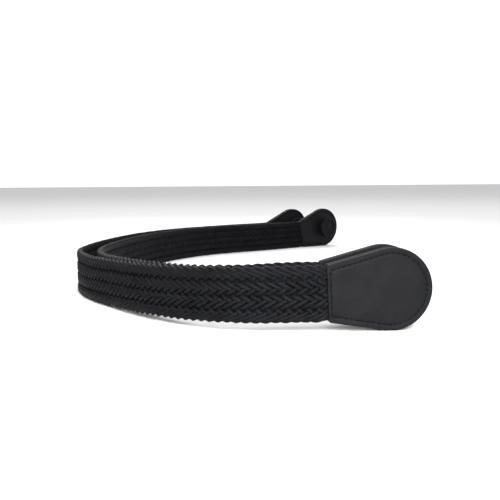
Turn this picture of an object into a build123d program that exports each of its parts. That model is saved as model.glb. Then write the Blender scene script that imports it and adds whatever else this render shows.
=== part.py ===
"""Pair of flat braided carrying handles, nested one inside the other on edge.

Each handle is a four-ribbed braided band with a drop-shaped tab at both ends.
A tab is two leatherette plies over a stiffener, lock-stitched all round, with
a threaded stud through its inner ply.  A washer and a knob screw onto the stud
and clamp the wall that the handle is fixed to.

Millimetres, +Z up, +Y from the near legs to the far legs of both handles, and
the open ends of the two U shapes towards +X.
"""

import os
from math import asin, cos, radians, sin, tan

from build123d import *

os.makedirs("parts", exist_ok=True)

# ---------------------------------------------------------------- band
BAND_HEIGHT = 25.0
BAND_THICK = 4.0
BAND_REST = 0.1  # the middle of a band's lower edge stands this far off the floor
NECK_LIFT = {"near": 4.6, "far": 0.0}  # a band's lower edge over the floor at a tab
ARC_SHARE = 0.45  # share of the shorter run that an arc takes at each corner

# ---------------------------------------------------------------- tab
TAB_RADIUS = 18.4
NECK_TO_PEG = 29.0  # from the straight edge to the centre of the round end
NECK_HALF = 12.6
CORE_THICK = 1.8
PLY_THICK = 1.2
TAB_HALF = CORE_THICK / 2 + PLY_THICK
CORE_INSET = 0.7
RIM_CHAMFER = 0.3
TONGUE_LENGTH = 9.0  # pressed end of the band inside the neck
TONGUE_HEIGHT = 23.6
BAND_OVERRUN = 4.0  # a band is cut back from here to its tab's straight edge

# ---------------------------------------------------------------- stitching
SEAM_EDGE = 2.6  # from the curved edge to the thread's middle
SEAM_NECK = 1.5  # from the straight edge to the thread's middle
THREAD_WIDE = 0.55
SEAM_SIDES = (-THREAD_WIDE / 2, THREAD_WIDE / 2)
THREAD_SUNK = 0.3
THREAD_PROUD = 0.12

# ---------------------------------------------------------------- peg
FLANGE_RADIUS = 7.5
FLANGE_THICK = 0.9
POST_RADIUS = 4.0
PLY_HOLE_RADIUS = 4.0
WALL_GAP = 2.2  # the wall that a handle is fixed to
WASHER_RADIUS = 7.5
WASHER_THICK = 0.8
WASHER_BORE = 4.06
KNOB_RADIUS = 9.5
KNOB_THICK = 5.0
KNOB_ROOF = 0.8
KNOB_BORE = 4.05
KNOB_EDGE = 0.9
KNOB_DISH = 0.35
FACE_GAP = 0.05  # between the washer and the knob
POST_END_GAP = 0.3
GRIP_COUNT = 18
GRIP_RADIUS = 0.9
GRIP_DEPTH = 0.35

# ---------------------------------------------------------------- layout
# Plan positions; the origin is the middle of the whole pair's footprint.
ORIGIN = (-3.06, -2.13)
NEAR, FAR = "near", "far"
TAB_RISE = TAB_RADIUS - BAND_HEIGHT / 2
# a tab stands on its round end, so its axis slopes up from the band to the tip
TILT = {end: asin((TAB_RISE - lift) / NECK_TO_PEG) for end, lift in NECK_LIFT.items()}
# handle: {end: (peg x, peg y, heading of the tab from its neck to its tip)}
PEGS = {
    "outer": {NEAR: (69.0, -200.0, 8.0), FAR: (48.0, 186.0, 38.0)},
    "inner": {NEAR: (67.5, -185.8, 8.0), FAR: (79.0, 191.0, 36.0)},
}
# corners of each band's route between its two tabs, from the near leg round
ROUTES = {
    "outer": [
        (0, -204),
        (-33, -183),
        (-61, -149),
        (-85, -115),
        (-99, -78),
        (-98, -34),
        (-91, 12),
        (-77, 59),
        (-54, 98),
        (-22, 128),
    ],
    "inner": [
        (-4, -196),
        (-32, -175),
        (-57, -142),
        (-77, -110),
        (-87, -72),
        (-85, -28),
        (-77, 14),
        (-65, 54),
        (-46, 91),
        (-18, 121),
        (18, 144),
    ],
}
LEAD_IN = {NEAR: 14.0, FAR: 16.0}  # straight run of band before each tab
LIFT_FROM, LIFT_TO = -81.0, 16.0  # where a near leg leaves the floor, and is up


def place(x, y, z):
    """A plan position as a point about the pair's middle."""
    return Vector(x - ORIGIN[0], y - ORIGIN[1], z)


def tab_plane(handle, end):
    """A tab's middle plane: x from its neck to its tip, z out of its face."""
    x, y, heading = PEGS[handle][end]
    tilt = TILT[end]
    side = 1.0 if end == NEAR else -1.0
    turn = radians(heading)
    along = Vector(cos(turn) * cos(tilt), sin(turn) * cos(tilt), sin(tilt))
    out = Vector(sin(turn), -cos(turn), 0) * side
    peg = place(x, y, TAB_RADIUS)
    return Plane(origin=peg - along * NECK_TO_PEG, x_dir=along, z_dir=out)


def tab_shape(inset, neck_inset):
    """Draws a tab's outline: a round end with two sides straight to the neck."""
    with Locations((NECK_TO_PEG, 0)):
        Circle(TAB_RADIUS - inset)
    with Locations((neck_inset + 0.5, 0)):
        Rectangle(1.0, 2 * (NECK_HALF - inset))
    make_hull()


def lift_at(x, y):
    """Height of a band's lower edge at a plan position."""
    if y > 0:
        return 0.0
    share = (x - LIFT_FROM) / (LIFT_TO - LIFT_FROM)
    return NECK_LIFT[NEAR] * min(max(share, 0.0), 1.0)


def route(handle):
    """Corners of a band's middle line, past the straight edges of both tabs."""
    half = BAND_HEIGHT / 2 + BAND_REST
    ends = {}
    for end in (NEAR, FAR):
        x, y, heading = PEGS[handle][end]
        turn = radians(heading)
        flat = (cos(turn), sin(turn))
        neck = NECK_TO_PEG * cos(TILT[end])
        height = half + NECK_LIFT[end]
        ends[end] = [
            place(x - flat[0] * back, y - flat[1] * back, height)
            for back in (neck - BAND_OVERRUN, neck + LEAD_IN[end])
        ]
    middle = [place(x, y, half + lift_at(x, y)) for x, y in ROUTES[handle]]
    return ends[NEAR] + middle + ends[FAR][::-1]


def arc_radii(points):
    """The largest radius for each corner that its two runs allow."""
    radii = []
    for before, corner, after in zip(points, points[1:], points[2:]):
        run_in, run_out = corner - before, after - corner
        half_turn = radians(run_in.get_angle(run_out)) / 2
        shorter = min(run_in.length, run_out.length)
        radii.append(ARC_SHARE * shorter / tan(half_turn))
    return radii


def export(builder, name):
    """Labels a finished node and writes its STEP file."""
    builder.part.label = name
    export_step(builder.part, f"parts/{name}.step")


for handle in PEGS:
    points = route(handle)
    radii = arc_radii(points)
    print(handle, "band arc radii", [round(r) for r in radii])

    # ------------------------------------------------------------ band
    with BuildPart() as band:
        with BuildLine() as middle_line:
            FilletPolyline(*points, radius=radii)
        start = middle_line.line @ 0
        heading = middle_line.line % 0
        across = heading.cross(Vector(0, 0, 1))
        with BuildSketch(Plane(origin=start, x_dir=across, z_dir=heading)):
            Rectangle(BAND_THICK, BAND_HEIGHT)
        sweep(path=middle_line.wires()[0])
        for end in (NEAR, FAR):
            plane = tab_plane(handle, end)
            with BuildSketch(plane.offset(-BAND_THICK)):
                with Locations((BAND_OVERRUN, 0)):
                    Rectangle(2 * BAND_OVERRUN, 3 * BAND_HEIGHT)
            extrude(amount=2 * BAND_THICK, mode=Mode.SUBTRACT)
            with BuildSketch(plane.offset(-CORE_THICK / 2)):
                with Locations((TONGUE_LENGTH / 2 - 1.5, 0)):
                    Rectangle(TONGUE_LENGTH + 3.0, TONGUE_HEIGHT)
            extrude(amount=CORE_THICK)
    length = sum(edge.length for edge in middle_line.edges()) - 2 * BAND_OVERRUN
    volume = band.part.volume
    print(handle, "band", round(length, 1), "long,", round(volume), "mm3")
    export(band, f"{handle}_band")

    for end in (NEAR, FAR):
        name = f"{handle}_{end}"
        mid = tab_plane(handle, end)
        peg = (NECK_TO_PEG, 0)

        # -------------------------------------------------------- tab
        with BuildPart() as stiffener:
            with BuildSketch(mid.offset(-CORE_THICK / 2)):
                tab_shape(CORE_INSET, CORE_INSET)
                with Locations((0, 0)):
                    Rectangle(2 * TONGUE_LENGTH, 2 * BAND_HEIGHT, mode=Mode.SUBTRACT)
            extrude(amount=CORE_THICK)
            with BuildSketch(mid.offset(-CORE_THICK / 2)):
                with Locations(peg):
                    Circle(FLANGE_RADIUS)
            extrude(amount=FLANGE_THICK, mode=Mode.SUBTRACT)
        export(stiffener, f"{name}_stiffener")

        for ply, side in (("face", 1), ("back", -1)):
            outer_face = side * TAB_HALF
            groove = mid.offset(outer_face - side * THREAD_SUNK)
            with BuildPart() as panel:
                with BuildSketch(mid.offset(side * CORE_THICK / 2)):
                    tab_shape(0, 0)
                extrude(amount=side * PLY_THICK)
                rim = panel.edges().filter_by_position(
                    Axis(mid.origin, mid.z_dir), outer_face - 0.01, outer_face + 0.01
                )
                chamfer(rim, RIM_CHAMFER)
                for shift, mode in zip(SEAM_SIDES, (Mode.SUBTRACT, Mode.ADD)):
                    with BuildSketch(groove):
                        tab_shape(SEAM_EDGE + shift, SEAM_NECK + shift)
                    extrude(amount=side * THREAD_SUNK, mode=mode)
                if ply == "back":
                    with BuildSketch(mid.offset(-CORE_THICK / 2)):
                        with Locations(peg):
                            Circle(PLY_HOLE_RADIUS)
                    extrude(amount=-PLY_THICK, mode=Mode.SUBTRACT)
            export(panel, f"{name}_{ply}_panel")

            with BuildPart() as thread:
                for shift, mode in zip(SEAM_SIDES, (Mode.ADD, Mode.SUBTRACT)):
                    with BuildSketch(groove):
                        tab_shape(SEAM_EDGE + shift, SEAM_NECK + shift)
                    extrude(amount=side * (THREAD_SUNK + THREAD_PROUD), mode=mode)
            export(thread, f"{name}_{ply}_stitching")

        # -------------------------------------------------------- peg
        back = -TAB_HALF
        washer_top = back - WALL_GAP
        knob_top = washer_top - WASHER_THICK - FACE_GAP
        knob_end = knob_top - KNOB_THICK
        bore_end = knob_end + KNOB_ROOF
        with BuildPart() as stud:
            with BuildSketch(mid.offset(-CORE_THICK / 2 + FLANGE_THICK)):
                with Locations(peg):
                    Circle(FLANGE_RADIUS)
            extrude(amount=-FLANGE_THICK)
            with BuildSketch(mid.offset(-CORE_THICK / 2)):
                with Locations(peg):
                    Circle(POST_RADIUS)
            extrude(amount=bore_end + POST_END_GAP + CORE_THICK / 2)
        export(stud, f"{name}_stud")

        with BuildPart() as washer:
            with BuildSketch(mid.offset(washer_top)):
                with Locations(peg):
                    Circle(WASHER_RADIUS)
                    Circle(WASHER_BORE, mode=Mode.SUBTRACT)
            extrude(amount=-WASHER_THICK)
        export(washer, f"{name}_washer")

        with BuildPart() as knob:
            with BuildSketch(mid.offset(knob_top)):
                with Locations(peg):
                    Circle(KNOB_RADIUS)
            extrude(amount=-KNOB_THICK)
            chamfer(knob.edges().filter_by(GeomType.CIRCLE), KNOB_EDGE / 2)
            with BuildSketch(mid.offset(knob_top)):
                with Locations(peg):
                    Circle(KNOB_BORE)
            extrude(amount=bore_end - knob_top, mode=Mode.SUBTRACT)
            with BuildSketch(mid.offset(knob_end)):
                with Locations(peg):
                    Circle(KNOB_RADIUS - 2.5)
            extrude(amount=KNOB_DISH, mode=Mode.SUBTRACT)
            with BuildSketch(mid.offset(knob_top)):
                with Locations(peg):
                    with PolarLocations(KNOB_RADIUS + GRIP_RADIUS - GRIP_DEPTH, GRIP_COUNT):
                        Circle(GRIP_RADIUS)
            extrude(amount=-KNOB_THICK, mode=Mode.SUBTRACT)
        export(knob, f"{name}_knob")
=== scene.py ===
"""Looks for a nested pair of braided bag handles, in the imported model's frame.

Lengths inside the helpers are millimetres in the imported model's frame (+Z up),
and mesh_piece turns them into metres.  The braid with its inner tape, the
leatherette plies and the stitches are made here.  Studs, washers, knobs and
stiffeners are the CAD nodes themselves, with new materials.
"""

import math

import bmesh
import bpy
import numpy as np
from mathutils import Matrix, Vector


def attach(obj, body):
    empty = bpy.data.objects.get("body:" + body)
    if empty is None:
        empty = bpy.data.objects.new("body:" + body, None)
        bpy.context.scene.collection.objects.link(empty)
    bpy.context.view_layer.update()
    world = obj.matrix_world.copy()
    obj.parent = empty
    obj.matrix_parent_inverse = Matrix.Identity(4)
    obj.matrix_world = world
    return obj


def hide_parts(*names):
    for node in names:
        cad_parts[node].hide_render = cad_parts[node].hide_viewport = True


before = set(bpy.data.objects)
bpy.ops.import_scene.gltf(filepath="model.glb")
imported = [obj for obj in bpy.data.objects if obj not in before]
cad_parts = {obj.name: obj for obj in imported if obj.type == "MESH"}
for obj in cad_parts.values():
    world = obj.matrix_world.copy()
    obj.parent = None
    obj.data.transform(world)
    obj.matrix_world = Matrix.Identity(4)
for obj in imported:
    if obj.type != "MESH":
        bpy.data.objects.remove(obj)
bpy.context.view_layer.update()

MM = 0.001
Z_UP = np.array((0.0, 0.0, 1.0))

# ------------------------------------------------------------------ layout
ORIGIN = np.array((-3.06, -2.13, 0.0))
BAND_HEIGHT, BAND_REST = 25.0, 0.1
NECK_LIFT = {"near": 4.6, "far": 0.0}
LIFT_FROM, LIFT_TO = -81.0, 16.0
TAB_RADIUS, NECK_TO_PEG, NECK_HALF = 18.4, 29.0, 12.6
CORE_THICK, PLY_THICK = 1.8, 1.2
TILT = {
    end: math.asin((TAB_RADIUS - BAND_HEIGHT / 2 - lift) / NECK_TO_PEG)
    for end, lift in NECK_LIFT.items()
}
LEAD_IN = {"near": 14.0, "far": 16.0}
TUCK = 8.0  # how far the braid runs on inside a tab
PEGS = {
    "outer": {"near": (69.0, -200.0, 8.0), "far": (48.0, 186.0, 38.0)},
    "inner": {"near": (67.5, -185.8, 8.0), "far": (79.0, 191.0, 36.0)},
}
ROUTES = {
    "outer": [
        (0, -204), (-33, -183), (-61, -149), (-85, -115), (-99, -78),
        (-98, -34), (-91, 12), (-77, 59), (-54, 98), (-22, 128),
    ],
    "inner": [
        (-4, -196), (-32, -175), (-57, -142), (-77, -110), (-87, -72),
        (-85, -28), (-77, 14), (-65, 54), (-46, 91), (-18, 121), (18, 144),
    ],
}

# ------------------------------------------------------------------- braid
STRANDS = 21
STRAND_PITCH = 4.45  # between neighbours of one direction, along the band
ROW_HEIGHTS = np.array((3.55, 2.25, 3.45, 2.55, 2.55, 3.45, 2.25, 3.55))
ROW_STEPS = np.array((9, 2, 6, 4, 4, 6, 2, 9))  # quarter pitches per row
STRAND_WIDE, STRAND_DEEP = 0.99, 0.88  # half of a strand's width and thickness
STRAND_OFFSET = 1.03  # how far a float stands off the band's middle
STRAND_VARIES = 0.03  # spread of the strands' sizes, as a share
WANDER, WANDER_ALONG, WANDER_KNOTS = 0.05, 2.0, 40  # how unevenly a strand lies
DIVE_LATE = 0.45  # a float runs on a little past its row's edge before it dives
ROUND_ACROSS, ROUND_DEPTH = 0.9, 0.62  # how softly a strand turns back, and dives
PERIOD_STEP = 0.05
PRESS_BEFORE, PRESS_RUN = 1.0, 4.0  # where a tab stops pressing the plait flat
PRESSED_ACROSS, PRESSED_DEPTH, PRESSED_STRAND = 0.93, 0.42, 0.55
TWIST_SHIFT = 7.3  # keeps neighbouring strands' twists out of line
STEP = 0.9  # between a strand's rings
SIDES = 8
TAPE_HALF, TAPE_DEEP = 11.0, 0.2  # flat inner tape that closes the plait's pinholes

# -------------------------------------------------------------------- tabs
CORNER, CORNER_SHRINK, CORNER_LEAST = 1.1, 0.4, 0.25  # rounding of the square corners
NECK_POINTS, CORNER_POINTS, FLANK_POINTS, ARC_POINTS = 10, 7, 26, 46
SWELL = 0.26  # how far the braid's end pushes a ply out
SWELL_AT, SWELL_RUN = 0.5, 5.5  # where along the tab, and over how long
SWELL_HALF, SWELL_EDGE = 11.8, 3.5  # how far across it, and how soft its edge

# ------------------------------------------------------------------- seams
SEAM_INSET, SEAM_NECK_INSET = 2.6, 1.5
STITCH_PITCH = 2.5
STITCH_REACH = 0.43  # half of a stitch's length, as a share of the pitch
STITCH_SLANT = 0.10  # how far its ends stand off the seam's line
STITCH_DRIFT, STITCH_SIDEWAYS = 0.03, 0.02  # unevenness along and across the seam
STITCH_RISE, STITCH_DIVE, DIVE_POWER = 0.20, 0.55, 3.2  # its arch over the groove
STITCH_POINTS, THREAD_SIDES = 9, 8
THREAD_RADIUS, THREAD_THINS = 0.25, 0.25  # and the share that its ends lose
THREAD_WIDE, THREAD_DEEP = 1.1, 0.85  # a pulled thread lies a little flat

COOL = (0.93, 0.96, 1.13)  # red, green and blue of a dyed black's grey

rng = np.random.default_rng(7)


def unit(v):
    return v / np.linalg.norm(v, axis=-1, keepdims=True)


def place(x, y, z):
    return np.array((x, y, z), float) - ORIGIN


def tab_frame(handle, end):
    """(origin, along, up, out) of a tab: the neck's middle and three axes."""
    x, y, heading = PEGS[handle][end]
    turn, tilt = math.radians(heading), TILT[end]
    side = 1.0 if end == "near" else -1.0
    flat = math.cos(tilt)
    along = np.array((math.cos(turn) * flat, math.sin(turn) * flat, math.sin(tilt)))
    out = np.array((math.sin(turn), -math.cos(turn), 0.0)) * side
    up = np.cross(out, along)
    origin = place(x, y, TAB_RADIUS) - along * NECK_TO_PEG
    return origin, along, up * np.sign(up[2]), out


# ---------------------------------------------------------------- meshes
def mesh_piece(name, verts, faces, body, material, uv=None, painted_highlight=None):
    """A new piece from points in millimetres, riding on a CAD body."""
    mesh = bpy.data.meshes.new(name)
    mesh.from_pydata((np.asarray(verts) * MM).tolist(), [], faces)
    mesh.update()
    mesh.polygons.foreach_set("use_smooth", [True] * len(mesh.polygons))
    if uv is not None:
        mesh.uv_layers.new(name="UVMap").data.foreach_set("uv", np.ravel(uv))
    # per point, how far a ply's rounded edge is painted paler as a highlight
    if painted_highlight is not None:
        attribute = mesh.attributes.new("edge", "FLOAT", "POINT")
        attribute.data.foreach_set("value", painted_highlight)
    mesh.materials.append(material)
    piece = bpy.data.objects.new(name, mesh)
    bpy.context.scene.collection.objects.link(piece)
    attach(piece, body)
    return piece


def tube_faces(rings, sides, first=0):
    """Quads round a tube whose rings of points follow one another."""
    i = np.arange(rings - 1)[:, None] * sides + first
    j = np.arange(sides)[None, :]
    k = (j + 1) % sides
    return np.stack((i + j, i + k, i + sides + k, i + sides + j), -1).reshape(-1, 4)


# --------------------------------------------------------------- materials
class Nodes:
    """Shorthand for building one procedural material."""

    def __init__(self, name):
        self.material = bpy.data.materials.new(name)
        self.material.use_nodes = True
        self.tree = self.material.node_tree
        self.shader = self.tree.nodes["Principled BSDF"]

    def add(self, kind, inputs=None, **settings):
        node = self.tree.nodes.new("ShaderNode" + kind)
        for key, value in settings.items():
            setattr(node, key, value)
        for key, value in (inputs or {}).items():
            if isinstance(value, bpy.types.NodeSocket):
                self.tree.links.new(value, node.inputs[key])
            else:
                node.inputs[key].default_value = value
        return node

    def math(self, operation, a, b=0.0):
        return self.add("Math", {0: a, 1: b}, operation=operation).outputs[0]

    def mix(self, factor, a, b):
        node = self.add("Mix", data_type="RGBA")
        for index, value in ((0, factor), (6, a), (7, b)):
            if isinstance(value, bpy.types.NodeSocket):
                self.tree.links.new(value, node.inputs[index])
            else:
                node.inputs[index].default_value = value
        return node.outputs[2]

    def bump(self, height, strength, distance, normal=None):
        inputs = {"Height": height, "Strength": strength, "Distance": distance}
        if normal is not None:
            inputs["Normal"] = normal
        return self.add("Bump", inputs).outputs["Normal"]

    def put(self, **sockets):
        for key, value in sockets.items():
            socket = self.shader.inputs[key.replace("_", " ")]
            if isinstance(value, bpy.types.NodeSocket):
                self.tree.links.new(value, socket)
            else:
                socket.default_value = value


def cool(value):
    """A grey a little on the blue side, as dyed blacks are."""
    return (*(value * share for share in COOL), 1.0)


def leather_material():
    n = Nodes("leatherette")
    at = n.add("TexCoord").outputs["Object"]
    grain = n.add("TexVoronoi", {"Vector": at, "Scale": 1900.0, "Randomness": 1.0})
    fine = n.add("TexNoise", {"Vector": at, "Scale": 5200.0, "Detail": 3.0})
    broad = n.add("TexNoise", {"Vector": at, "Scale": 95.0, "Detail": 3.0})
    # painted highlight: a ply's rounded edge is made paler, in patches, where light
    # would catch it
    edge = n.add("Attribute", attribute_name="edge").outputs["Fac"]
    painted_edge_highlight = n.math("MULTIPLY", edge, n.math("ADD", broad.outputs["Fac"], 0.35))
    speck = n.add("TexNoise", {"Vector": at, "Scale": 1500.0, "Detail": 5.0})
    tone = n.math("MULTIPLY", speck.outputs["Fac"], broad.outputs["Fac"])
    dark = n.mix(n.math("MULTIPLY", tone, 2.6), cool(0.004), cool(0.0115))
    n.put(
        Base_Color=n.mix(painted_edge_highlight, dark, cool(0.011)),
        Roughness=n.math(
            "ADD", n.math("MULTIPLY", broad.outputs["Fac"], 0.16), 0.42
        ),
        Normal=n.bump(
            fine.outputs["Fac"],
            0.3,
            0.0001,
            n.bump(grain.outputs["Distance"], 0.6, 0.00016),
        ),
        Specular_IOR_Level=0.09,
    )
    return n.material


def cord_material():
    n = Nodes("waxed_cord")
    uv = n.add("UVMap", uv_map="UVMap").outputs["UV"]
    parts = n.add("SeparateXYZ", {0: uv})
    along, around = parts.outputs[0], parts.outputs[1]
    turns, twist = n.math("MULTIPLY", along, 0.9), n.math("MULTIPLY", around, 2.0)
    lay = n.math("ADD", turns, twist)
    ply = n.math("SINE", n.math("MULTIPLY", lay, 2 * math.pi))
    length, girth = n.math("MULTIPLY", along, 0.8), n.math("MULTIPLY", around, 16.0)
    stretched = n.add("CombineXYZ", {0: length, 1: girth}).outputs[0]
    fibre = n.add("TexNoise", {"Vector": stretched, "Scale": 1.0, "Detail": 4.0})
    at = n.add("TexCoord").outputs["Object"]
    broad = n.add("TexNoise", {"Vector": at, "Scale": 160.0, "Detail": 2.0})
    tone = n.math("MULTIPLY", fibre.outputs["Fac"], broad.outputs["Fac"])
    height = n.math("ADD", n.math("MULTIPLY", ply, 0.25), fibre.outputs["Fac"])
    n.put(
        Base_Color=n.mix(n.math("MULTIPLY", tone, 3.0), cool(0.003), cool(0.0095)),
        Roughness=n.math("ADD", n.math("MULTIPLY", fibre.outputs["Fac"], 0.2), 0.42),
        Normal=n.bump(height, 0.35, 0.00012),
        Specular_IOR_Level=0.04,
    )
    return n.material


def plain_material(name, tone, roughness, grain, strength, specular):
    """Moulded, lacquered or woven stock: a grain in the tone and the surface."""
    n = Nodes(name)
    at = n.add("TexCoord").outputs["Object"]
    fine = n.add("TexNoise", {"Vector": at, "Scale": grain, "Detail": 4.0})
    broad = n.add("TexNoise", {"Vector": at, "Scale": grain / 22, "Detail": 2.0})
    n.put(
        Base_Color=n.mix(broad.outputs["Fac"], cool(tone * 0.75), cool(tone * 1.35)),
        Roughness=n.math(
            "ADD", n.math("MULTIPLY", fine.outputs["Fac"], 0.2), roughness - 0.1
        ),
        Normal=n.bump(fine.outputs["Fac"], strength, 0.0001),
        Specular_IOR_Level=specular,
    )
    return n.material


LEATHER = leather_material()
CORD = cord_material()
THREAD = plain_material("waxed_thread", 0.003, 0.6, 6000.0, 0.5, 0.08)
KNOB = plain_material("moulded_knob", 0.006, 0.42, 3500.0, 0.12, 0.07)
WASHER = plain_material("moulded_washer", 0.006, 0.5, 4200.0, 0.15, 0.15)
STUD = plain_material("lacquered_stud", 0.006, 0.3, 2600.0, 0.08, 0.3)
BOARD = plain_material("stiffener_board", 0.006, 0.8, 3000.0, 0.3, 0.1)


# ------------------------------------------------------------------- bands
def route(handle):
    """Control points of a band's middle line, from its far tab to its near one."""
    half = BAND_HEIGHT / 2 + BAND_REST
    middle = []
    for x, y in ROUTES[handle]:
        share = np.clip((x - LIFT_FROM) / (LIFT_TO - LIFT_FROM), 0, 1) * (y < 0)
        middle.append(place(x, y, half + NECK_LIFT["near"] * share))
    ends = {}
    for end in ("near", "far"):
        origin, along, _, _ = tab_frame(handle, end)
        flat = unit(along * (1, 1, 0))
        ends[end] = [origin + along * TUCK, origin, origin - flat * LEAD_IN[end]]
    return np.array(ends["far"] + middle[::-1] + ends["near"][::-1])


def smooth_line(points, each=24):
    """A quadratic B-spline through the middles of the runs between points."""
    out = [points[:1]]
    mids = (points[1:] + points[:-1]) / 2
    s = np.linspace(0, 1, each, endpoint=False)[:, None]
    out.append(points[0] + (mids[0] - points[0]) * s)
    for a, b, c in zip(mids, points[1:-1], mids[1:]):
        out.append((1 - s) ** 2 * a + 2 * s * (1 - s) * b + s**2 * c)
    out.append(mids[-1] + (points[-1] - mids[-1]) * s)
    out.append(points[-1:])
    line = np.concatenate(out)
    keep = np.r_[True, np.linalg.norm(np.diff(line, axis=0), axis=1) > 1e-6]
    return line[keep]


def settle(values, sigma, step):
    """values of one period, softened by a bell of that width."""
    reach = int(4 * sigma / step)
    bell = np.exp(-0.5 * (np.arange(-reach, reach + 1) * step / sigma) ** 2)
    return np.convolve(np.pad(values, reach, mode="wrap"), bell / bell.sum(), "valid")


def strand_period():
    """One strand's travel across the band and back: (along, across, depth)."""
    quarter = STRAND_PITCH / 4
    advance = np.r_[0, np.cumsum(ROW_STEPS)] * quarter
    across = np.r_[0, np.cumsum(ROW_HEIGHTS)] - ROW_HEIGHTS.sum() / 2
    there = advance[-1]
    t = np.arange(0, 2 * there, PERIOD_STEP)
    once = t % there
    w = np.interp(once, advance, across) * np.where(t < there, -1, 1)
    row = np.searchsorted(advance, (once - DIVE_LATE) % there, side="right") - 1
    depth = np.where(row % 2 == 0, 1.0, -1.0)
    w = settle(w, ROUND_ACROSS, PERIOD_STEP)
    return t, w, settle(depth, ROUND_DEPTH, PERIOD_STEP), 2 * there


def ease(x):
    x = np.clip(x, 0, 1)
    return x * x * (3 - 2 * x)


def relaxed(pressed, free):
    """From the pressed share inside a tab to the full measure outside it."""
    return pressed + (1 - pressed) * free


def tape(centre, up, out, first):
    """The tape inside a plait: a flat tube along the band's middle line."""
    corners = ((1, 1), (1, -1), (-1, -1), (-1, 1))
    ring = np.stack(
        [centre + up * TAPE_HALF * a + out * TAPE_DEEP * b for a, b in corners], 1
    )
    quads = tube_faces(len(centre), len(corners), first)
    row, side = np.divmod(quads - first, len(corners))
    return ring.reshape(-1, 3), quads, np.stack((row, side), -1).reshape(-1, 2)


def braid(handle):
    line = smooth_line(route(handle))
    gap = np.linalg.norm(np.diff(line, axis=0), axis=1)
    s = np.r_[0, np.cumsum(gap)]
    length = s[-1]
    t, across, depth, period = strand_period()
    at = np.arange(0, length, STEP)
    verts, faces, uvs, first = [], [], [], 0
    for k in range(STRANDS):
        wander = rng.normal(0, WANDER, (2, WANDER_KNOTS))
        knots = np.linspace(0, length, WANDER_KNOTS)
        shift = np.interp(at, knots, wander[0]) * WANDER_ALONG
        phase = (at - k * period / STRANDS + shift) % period
        w = np.interp(phase, t, across, period=period)
        d = np.interp(phase, t, depth, period=period)
        inside = np.minimum(at, length - at) - TUCK
        free = ease((inside + PRESS_BEFORE) / PRESS_RUN)
        w = w * relaxed(PRESSED_ACROSS, free) + np.interp(at, knots, wander[1])
        d = d * STRAND_OFFSET * relaxed(PRESSED_DEPTH, free)
        centre = np.stack([np.interp(at, s, line[:, i]) for i in range(3)], -1)
        ahead = unit(np.gradient(centre, axis=0))
        up = unit(Z_UP - ahead * (ahead @ Z_UP)[:, None])
        out = np.cross(ahead, up)
        path = centre + up * w[:, None] + out * d[:, None]
        heading = unit(np.gradient(path, axis=0))
        wide = unit(np.cross(heading, out))
        deep = np.cross(wide, heading)
        size = 1 + STRAND_VARIES * rng.normal()
        turn = np.linspace(0, 2 * math.pi, SIDES, endpoint=False)
        r_wide = STRAND_WIDE * size
        r_deep = STRAND_DEEP * size * relaxed(PRESSED_STRAND, free)
        ring = (
            path[:, None]
            + wide[:, None] * (np.cos(turn) * r_wide)[None, :, None]
            + deep[:, None] * (np.sin(turn)[None, :] * r_deep[:, None])[..., None]
        )
        verts.append(ring.reshape(-1, 3))
        quads = tube_faces(len(at), SIDES, first)
        faces.append(quads)
        run = np.r_[0, np.cumsum(np.linalg.norm(np.diff(path, axis=0), axis=1))]
        run = run + TWIST_SHIFT * k
        i = np.repeat(np.arange(len(at) - 1), SIDES)
        j = np.tile(np.arange(SIDES), len(at) - 1)
        u = np.stack((run[i], run[i], run[i + 1], run[i + 1]), -1)
        v = (j[:, None] + np.array((0, 1, 1, 0))[None]) / SIDES
        uvs.append(np.stack((u, v), -1).reshape(-1, 2))
        first += len(at) * SIDES
    points, quads, uv = tape(centre, up, out, first)
    verts.append(points)
    faces.append(quads)
    uvs.append(uv)
    piece = mesh_piece(
        f"{handle}_braid",
        np.concatenate(verts),
        np.concatenate(faces).tolist(),
        f"{handle}_handle",
        CORD,
        uv=np.concatenate(uvs),
    )
    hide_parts(f"{handle}_band")


# -------------------------------------------------------------------- tabs
def tab_ring(inset, neck_inset):
    """Points round a tab's outline, pulled in; the same number at any inset."""
    radius, half = TAB_RADIUS - inset, NECK_HALF - inset
    dx, dy = neck_inset - NECK_TO_PEG, half
    away = math.hypot(dx, dy)
    touch = math.atan2(dy, dx) - math.acos(radius / away)
    tangent = radius * np.array((math.cos(touch), math.sin(touch)))
    tangent[0] += NECK_TO_PEG
    tip = np.array((neck_inset, half))
    side = unit(tangent - tip)
    corner = max(CORNER - inset * CORNER_SHRINK, CORNER_LEAST)
    a, b = tip - (0, corner), tip + side * corner
    s = np.linspace(0, 1, CORNER_POINTS)[:, None]
    bend = (1 - s) ** 2 * a + 2 * s * (1 - s) * tip + s**2 * b
    neck = np.linspace((neck_inset, 0), a, NECK_POINTS)[:-1]
    flank = np.linspace(b, tangent, FLANK_POINTS)[1:-1]
    angles = np.linspace(touch, 0, ARC_POINTS)
    arc = np.stack(
        (NECK_TO_PEG + radius * np.cos(angles), radius * np.sin(angles)), -1
    )
    upper = np.concatenate((neck, bend, flank, arc))
    lower = (upper * (1, -1))[::-1][1:-1]
    return np.concatenate((upper, lower))


# (inset, height above the ply's inner side, how much painted highlight the edge gets:
# paler where its rounded edge catches the light)
PLY_PROFILE = (
    (0.10, 0.00, 0.5), (0.02, 0.25, 0.6), (0.00, 0.60, 0.8), (0.04, 0.88, 1.0),
    (0.14, 1.05, 0.9), (0.32, 1.14, 0.45), (0.60, 1.19, 0.12), (1.00, 1.20, 0.0),
    (1.70, 1.18, 0.0), (2.05, 1.12, 0.0), (2.30, 1.03, 0.0), (2.47, 0.96, 0.0),
    (2.60, 0.94, 0.0), (2.74, 0.97, 0.0), (2.95, 1.06, 0.0), (3.30, 1.15, 0.0),
    (3.90, 1.20, 0.0), (4.90, 1.22, 0.0), (6.50, 1.22, 0.0), (9.00, 1.20, 0.0),
)
PLY_TOP, SEAM_FLOOR = 1.22, 0.94  # the profile's highest point, and its groove


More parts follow.
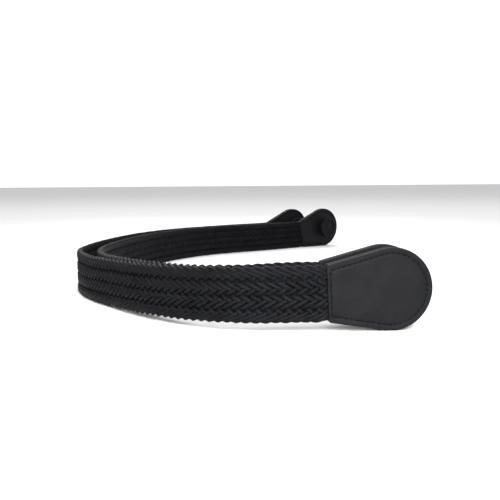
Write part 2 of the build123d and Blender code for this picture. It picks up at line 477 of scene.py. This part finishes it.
def tab_point(axes, side, xy, height):
    """Points of a tab's face: height is measured out of its middle plane."""
    origin, along, up, out = axes
    return (
        origin
        + along * xy[:, :1]
        + up * xy[:, 1:]
        + out * side * np.asarray(height)[..., None]
    )


def swell(xy):
    """How far a ply is pushed out by the end of the braid under it."""
    over = np.exp(-(((xy[:, 0] - SWELL_AT) / SWELL_RUN) ** 2))
    across = ease((SWELL_HALF - np.abs(xy[:, 1])) / SWELL_EDGE)
    return SWELL * over * across


def neck_share(inset):
    """The seam stands nearer to the straight edge than to the curved one."""
    if inset < SEAM_INSET:
        return inset * SEAM_NECK_INSET / SEAM_INSET
    return inset - SEAM_INSET + SEAM_NECK_INSET


def ply(handle, end, name, side):
    axes = tab_frame(handle, end)
    verts, painted_highlight = [], []
    for inset, height, edge_highlight_share in PLY_PROFILE:
        xy = tab_ring(inset, neck_share(inset))
        z = CORE_THICK / 2 + height * PLY_THICK / PLY_TOP + swell(xy) * min(height, 1)
        verts.append(tab_point(axes, side, xy, z))
        # the profile's last column: painted highlight along the rounded edge
        painted_highlight += [edge_highlight_share] * len(xy)
    count = len(xy)
    faces = tube_faces(len(PLY_PROFILE), count).tolist()
    faces.append(list(range(count)))
    last = (len(PLY_PROFILE) - 1) * count
    faces.append(list(range(last, last + count)))
    piece = mesh_piece(
        f"{handle}_{end}_{name}_ply",
        np.concatenate(verts),
        faces,
        f"{handle}_handle",
        LEATHER,
        painted_highlight=painted_highlight,
    )
    fix_normals(piece)
    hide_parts(f"{handle}_{end}_{name}_panel")


def fix_normals(piece):
    """Makes a closed mesh's faces point outwards."""
    mesh = bmesh.new()
    mesh.from_mesh(piece.data)
    bmesh.ops.recalc_face_normals(mesh, faces=mesh.faces)
    mesh.to_mesh(piece.data)
    mesh.free()


def seam(handle, end, name, side):
    """A lock-stitched seam: short threads that dive into the ply at both ends."""
    axes = tab_frame(handle, end)
    ring = tab_ring(SEAM_INSET, SEAM_NECK_INSET)
    ring = np.concatenate((ring, ring[:1]))
    s = np.r_[0, np.cumsum(np.linalg.norm(np.diff(ring, axis=0), axis=1))]
    count = round(s[-1] / STITCH_PITCH)
    pitch = s[-1] / count
    share = np.linspace(-1, 1, STITCH_POINTS)
    lift = SEAM_FLOOR * PLY_THICK / PLY_TOP + CORE_THICK / 2
    verts, faces = [], []
    turn = np.linspace(0, 2 * math.pi, THREAD_SIDES, endpoint=False)
    for k in range(count):
        middle = (k + 0.5) * pitch + rng.normal(0, STITCH_DRIFT)
        at = (middle + share * pitch * STITCH_REACH) % s[-1]
        xy = np.stack([np.interp(at, s, ring[:, i]) for i in range(2)], -1)
        ahead = unit(np.gradient(xy, axis=0))
        across = np.stack((-ahead[:, 1], ahead[:, 0]), -1)
        off = share * STITCH_SLANT + rng.normal(0, STITCH_SIDEWAYS)
        xy = xy + across * off[:, None]
        dive = STITCH_DIVE * np.abs(share) ** DIVE_POWER
        rise = lift + STITCH_RISE - dive + swell(xy)
        radius = THREAD_RADIUS * (1 - THREAD_THINS * np.abs(share) ** 3)
        first = sum(len(v) for v in verts)
        for i in range(len(share)):
            wide = np.cos(turn) * radius[i] * THREAD_WIDE
            ring_xy = xy[i] + across[i] * wide[:, None]
            height = rise[i] + np.sin(turn) * radius[i] * THREAD_DEEP
            verts.append(tab_point(axes, side, ring_xy, height))
        faces += tube_faces(len(share), len(turn), first).tolist()
        faces.append([first + i for i in range(len(turn))])
        end_ring = first + (len(share) - 1) * len(turn)
        faces.append([end_ring + i for i in range(len(turn))])
    piece = mesh_piece(
        f"{handle}_{end}_{name}_seam",
        np.concatenate(verts),
        faces,
        f"{handle}_handle",
        THREAD,
    )
    fix_normals(piece)
    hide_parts(f"{handle}_{end}_{name}_stitching")


for handle in PEGS:
    braid(handle)
    for end in ("near", "far"):
        for name, side in (("face", 1), ("back", -1)):
            ply(handle, end, name, side)
            seam(handle, end, name, side)
        for part, material in (
            ("knob", KNOB), ("washer", WASHER), ("stud", STUD), ("stiffener", BOARD),
        ):
            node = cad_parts[f"{handle}_{end}_{part}"]
            for material_slot in node.material_slots:
                material_slot.material = material


# ------------------------------------------------------------ floor, light
def floor():
    mesh = bpy.data.meshes.new("floor")
    far = 6.0
    mesh.from_pydata(
        [(-far, -far, 0), (far, -far, 0), (far, far, 0), (-far, far, 0)],
        [],
        [(0, 1, 2, 3)],
    )
    n = Nodes("studio_white")
    n.put(Base_Color=(0.9, 0.9, 0.9, 1), Roughness=0.9, Specular_IOR_Level=0.1)
    mesh.materials.append(n.material)
    plane = bpy.data.objects.new("floor", mesh)
    bpy.context.scene.collection.objects.link(plane)


def area_light(name, at, towards, size, watts, spread=180.0):
    light = bpy.data.lights.new(name, "AREA")
    light.spread = math.radians(spread)
    light.shape = "RECTANGLE"
    light.size, light.size_y = size
    light.energy = watts
    lamp = bpy.data.objects.new(name, light)
    lamp.location = at
    aim = Vector(towards) - Vector(at)
    lamp.rotation_mode = "QUATERNION"
    lamp.rotation_quaternion = aim.to_track_quat("-Z", "Y")
    bpy.context.scene.collection.objects.link(lamp)


floor()
area_light("key", (0.08, -0.62, 0.26), (0.0, -0.22, 0.0), (0.3, 0.3), 0.75, 50.0)
area_light("top", (0.0, 0.35, 1.4), (0.0, 0.1, 0.0), (1.6, 1.6), 11.5)
area_light("back", (0.0, 0.8, 0.6), (0.0, 0.1, 0.0), (0.5, 0.5), 0.8, 60.0)
world = bpy.data.worlds.new("studio")
bpy.context.scene.world = world
world.use_nodes = True
studio = world.node_tree
wall = studio.nodes["Background"]
wall.inputs["Color"].default_value = (1, 1, 1, 1)
# a white wall behind the far legs, falling off to a dimmer room all round
direction = studio.nodes.new("ShaderNodeTexCoord")
parts = studio.nodes.new("ShaderNodeSeparateXYZ")
glow = studio.nodes.new("ShaderNodeMapRange")
glow.inputs["From Min"].default_value = 0.0
glow.inputs["To Min"].default_value = 0.5
glow.inputs["To Max"].default_value = 1.12
studio.links.new(direction.outputs["Generated"], parts.inputs[0])
studio.links.new(parts.outputs["Y"], glow.inputs["Value"])
studio.links.new(glow.outputs[0], wall.inputs["Strength"])
bpy.context.scene.view_settings.view_transform = "Standard"

# ------------------------------------------------------------------ camera
CAMERA_AT = (0.01041, -0.49956, 0.0669)
PITCH, YAW, ROLL = 0.10229, -0.0007, 0.00734
camera_data = bpy.data.cameras.new("camera")
camera_data.lens, camera_data.sensor_width = 50.0, 36.0
camera_data.clip_start = 0.01
camera = bpy.data.objects.new("camera", camera_data)
bpy.context.scene.collection.objects.link(camera)
ahead = Vector(
    (math.sin(YAW) * math.cos(PITCH), math.cos(YAW) * math.cos(PITCH), -math.sin(PITCH))
)
right = Vector((math.cos(YAW), -math.sin(YAW), 0))
above = right.cross(ahead)
right, above = (
    right * math.cos(ROLL) - above * math.sin(ROLL),
    right * math.sin(ROLL) + above * math.cos(ROLL),
)
turn = Matrix((right, above, -ahead)).transposed().to_4x4()
camera.matrix_world = Matrix.Translation(CAMERA_AT) @ turn
bpy.context.scene.camera = camera
